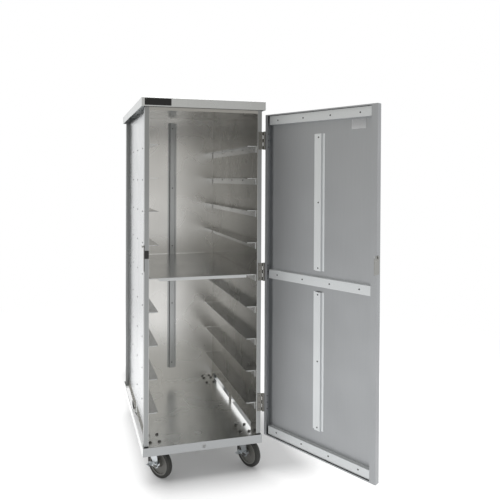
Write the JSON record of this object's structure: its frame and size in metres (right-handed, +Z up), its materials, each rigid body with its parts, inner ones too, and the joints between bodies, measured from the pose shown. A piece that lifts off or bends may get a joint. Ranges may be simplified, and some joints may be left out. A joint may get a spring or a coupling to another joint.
{
  "type": "enclosed meal tray cart",
  "caption": "Tall enclosed sheet-metal tray cart with one hinged door, lever latch, ledge pairs for meal trays and swivel casters, two with brake pedals.",
  "frame": {"origin": "on the ground, under the middle of the box round the whole cart with its door open as shown", "axes": "+X to the cart's right seen from the front, +Y from the door side into the cabinet, +Z up"},
  "size_m": [0.8091, 1.2024, 1.601],
  "materials": {
    "steel_sheet": "bright stainless sheet, softly reflective",
    "rivet": "satin",
    "hinge": "bright plated",
    "screw": "plated",
    "latch": "satin",
    "strike": "black, satin",
    "caster_metal": "zinc plated",
    "wheel_core": "moulded, matt",
    "tyre": "matt rubber"
  },
  "bodies": {
    "cabinet": {"back_panel": "steel_sheet", "back_stiffener": "steel_sheet", "base_pan": "steel_sheet", "caster_bolts": "screw", "ceiling_panel": "steel_sheet", "frame_hinge_screws": "screw", "front_left_caster_plate": "caster_metal", "front_left_post": "steel_sheet", "front_right_caster_plate": "caster_metal", "front_right_post": "steel_sheet", "hinge_frame_leaves": "hinge", "hinge_pins": "hinge", "latch_strike": "strike", "left_ledge_rivets": "rivet", "left_side_panel": "steel_sheet", "left_tray_ledges": "steel_sheet", "left_upper_rail": "steel_sheet", "middle_shelf": "steel_sheet", "rear_left_caster_plate": "caster_metal", "rear_left_post": "steel_sheet", "rear_right_caster_plate": "caster_metal", "rear_right_post": "steel_sheet", "right_ledge_rivets": "rivet", "right_side_panel": "steel_sheet", "right_tray_ledges": "steel_sheet", "right_upper_rail": "steel_sheet", "top_cap": "steel_sheet"},
    "door": {"door_hinge_screws": "screw", "door_skin": "steel_sheet", "hinge_door_leaves": "hinge", "latch_pivot": "latch", "lower_door_batten": "steel_sheet", "lower_door_stiffener": "steel_sheet", "middle_door_batten": "steel_sheet", "upper_door_batten": "steel_sheet", "upper_door_stiffener": "steel_sheet"},
    "latch": {"latch_lever": "latch"},
    "front_left_fork": {"front_left_caster_fork": "caster_metal", "front_left_axle": "caster_metal"},
    "front_left_wheel": {"front_left_wheel_core": "wheel_core", "front_left_tyre": "tyre"},
    "front_left_brake": {"front_left_brake_pedal": "caster_metal"},
    "front_right_fork": {"front_right_caster_fork": "caster_metal", "front_right_axle": "caster_metal"},
    "front_right_wheel": {"front_right_wheel_core": "wheel_core", "front_right_tyre": "tyre"},
    "front_right_brake": {"front_right_brake_pedal": "caster_metal"},
    "rear_left_fork": {"rear_left_caster_fork": "caster_metal", "rear_left_axle": "caster_metal"},
    "rear_left_wheel": {"rear_left_wheel_core": "wheel_core", "rear_left_tyre": "tyre"},
    "rear_right_fork": {"rear_right_caster_fork": "caster_metal", "rear_right_axle": "caster_metal"},
    "rear_right_wheel": {"rear_right_wheel_core": "wheel_core", "rear_right_tyre": "tyre"}
  },
  "joints": [
    {"name": "door_swing", "type": "hinge", "parent": "cabinet", "child": "door", "pos_m": [0.12895, -0.1313, 0.867], "axis": [0, 0, 1], "range_deg": [-119.4, 95.6]},
    {"name": "latch_turn", "type": "hinge", "parent": "door", "child": "latch", "pos_m": [0.38812, -0.58615, 0.988], "axis": [-0.4909, 0.8712, 0], "range_deg": [0, 25]},
    {"name": "front_left_swivel", "type": "hinge", "parent": "cabinet", "child": "front_left_fork", "pos_m": [-0.33655, -0.0418, 0.145], "axis": [0, 0, 1], "continuous": true},
    {"name": "front_left_roll", "type": "hinge", "parent": "front_left_fork", "child": "front_left_wheel", "pos_m": [-0.31342, -0.07195, 0.0625], "axis": [0.7934, 0.6088, 0], "continuous": true},
    {"name": "front_left_brake_turn", "type": "hinge", "parent": "front_left_fork", "child": "front_left_brake", "pos_m": [-0.31342, -0.07195, 0.0625], "axis": [0.7934, 0.6088, 0], "range_deg": [-10, 14]},
    {"name": "front_right_swivel", "type": "hinge", "parent": "cabinet", "child": "front_right_fork", "pos_m": [0.06545, -0.0418, 0.145], "axis": [0, 0, 1], "continuous": true},
    {"name": "front_right_roll", "type": "hinge", "parent": "front_right_fork", "child": "front_right_wheel", "pos_m": [0.08329, -0.07535, 0.0625], "axis": [0.8829, 0.4695, 0], "continuous": true},
    {"name": "front_right_brake_turn", "type": "hinge", "parent": "front_right_fork", "child": "front_right_brake", "pos_m": [0.08329, -0.07535, 0.0625], "axis": [0.8829, 0.4695, 0], "range_deg": [-10, 14]},
    {"name": "rear_left_swivel", "type": "hinge", "parent": "cabinet", "child": "rear_left_fork", "pos_m": [-0.33655, 0.5292, 0.145], "axis": [0, 0, 1], "continuous": true},
    {"name": "rear_left_roll", "type": "hinge", "parent": "rear_left_fork", "child": "rear_left_wheel", "pos_m": [-0.31641, 0.49697, 0.0625], "axis": [0.848, 0.5299, 0], "continuous": true},
    {"name": "rear_right_swivel", "type": "hinge", "parent": "cabinet", "child": "rear_right_fork", "pos_m": [0.06545, 0.5292, 0.145], "axis": [0, 0, 1], "continuous": true},
    {"name": "rear_right_roll", "type": "hinge", "parent": "rear_right_fork", "child": "rear_right_wheel", "pos_m": [0.08559, 0.49697, 0.0625], "axis": [0.848, 0.5299, 0], "continuous": true}
  ]
}
